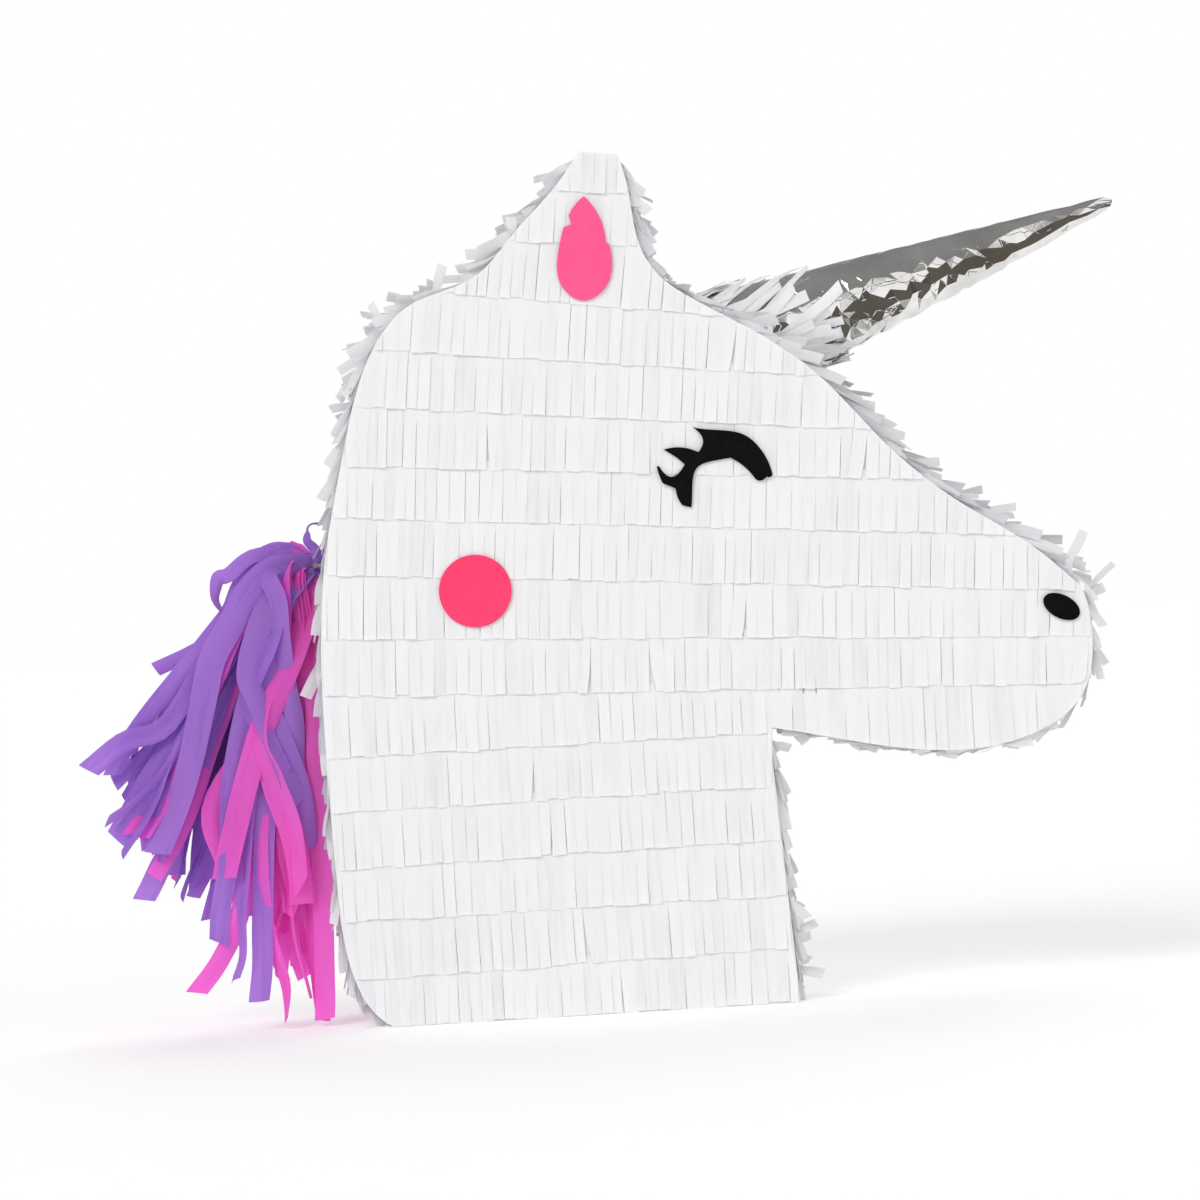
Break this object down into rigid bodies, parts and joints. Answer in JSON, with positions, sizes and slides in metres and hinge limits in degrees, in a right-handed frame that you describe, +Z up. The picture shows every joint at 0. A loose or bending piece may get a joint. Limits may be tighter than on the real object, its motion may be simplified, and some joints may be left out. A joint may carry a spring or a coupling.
{
  "type": "pinata",
  "caption": "Flat-box animal head pinata with lapped tissue fringe, foil horn cone, tied tissue mane, hinged filling door and hanging hole.",
  "frame": {"origin": "middle of the underside of the neck, which the head stands on", "axes": "+X towards the muzzle, +Z up, -Y towards the front face"},
  "size_m": [0.5532, 0.1026, 0.453],
  "materials": {
    "card": "matte",
    "paper_tape": "matte",
    "face_tissue": "matte",
    "edge_tissue": "matte",
    "tab_paper": "matte",
    "cheek_paper": "matte",
    "ear_paper": "matte",
    "black_sticker": "satin",
    "silver_foil": "polished",
    "eyelet_metal": "polished",
    "loop_wire": "satin",
    "tie_yarn": "matte",
    "purple_tissue": "matte",
    "pink_tissue": "matte"
  },
  "bodies": {
    "head": {"back_fringe_crown": "face_tissue", "back_fringe_face": "face_tissue", "back_fringe_neck": "face_tissue", "back_fringe_throat": "face_tissue", "back_panel": "card", "back_seam_tape": "paper_tape", "base_cover": "edge_tissue", "base_wall": "card", "brow_edge_fringe": "edge_tissue", "brow_wall": "card", "cheek_back": "cheek_paper", "cheek_front": "cheek_paper", "crest_edge_fringe": "edge_tissue", "crest_wall": "card", "ear_front_edge_fringe": "edge_tissue", "ear_front_wall": "card", "ear_lining_back": "ear_paper", "ear_lining_front": "ear_paper", "ear_top_wall": "card", "eye_back": "black_sticker", "eye_front": "black_sticker", "front_fringe_01": "face_tissue", "front_fringe_02": "face_tissue", "front_fringe_03": "face_tissue", "front_fringe_04": "face_tissue", "front_fringe_05": "face_tissue", "front_fringe_06": "face_tissue", "front_fringe_07": "face_tissue", "front_fringe_08": "face_tissue", "front_fringe_09": "face_tissue", "front_fringe_10": "face_tissue", "front_fringe_11": "face_tissue", "front_fringe_12": "face_tissue", "front_fringe_13": "face_tissue", "front_fringe_14": "face_tissue", "front_fringe_15": "face_tissue", "front_fringe_16": "face_tissue", "front_panel": "card", "front_seam_tape": "paper_tape", "hanger_plate": "card", "hanging_eyelet": "eyelet_metal", "horn_core": "card", "horn_foil": "silver_foil", "jaw_edge_fringe": "edge_tissue", "jaw_wall": "card", "mane_loop": "loop_wire", "nape_edge_fringe": "edge_tissue", "nape_wall": "card", "nostril_back": "black_sticker", "nostril_front": "black_sticker", "throat_edge_fringe": "edge_tissue", "throat_wall": "card"},
    "fill_door": {"fill_door": "card", "fill_door_fringe": "face_tissue", "door_pull_tab": "tab_paper"},
    "mane": {"mane_tie": "tie_yarn", "mane_purple": "purple_tissue", "mane_pink": "pink_tissue"}
  },
  "joints": [
    {"name": "door_hinge", "type": "hinge", "parent": "head", "child": "fill_door", "pos_m": [0, 0.0485, 0.196], "axis": [1, 0, 0], "range_deg": [0, 90]},
    {"name": "mane_swing", "type": "hinge", "parent": "head", "child": "mane", "pos_m": [-0.13556, 0, 0.2441], "axis": [0, 1, 0], "range_deg": [0, 45]}
  ]
}
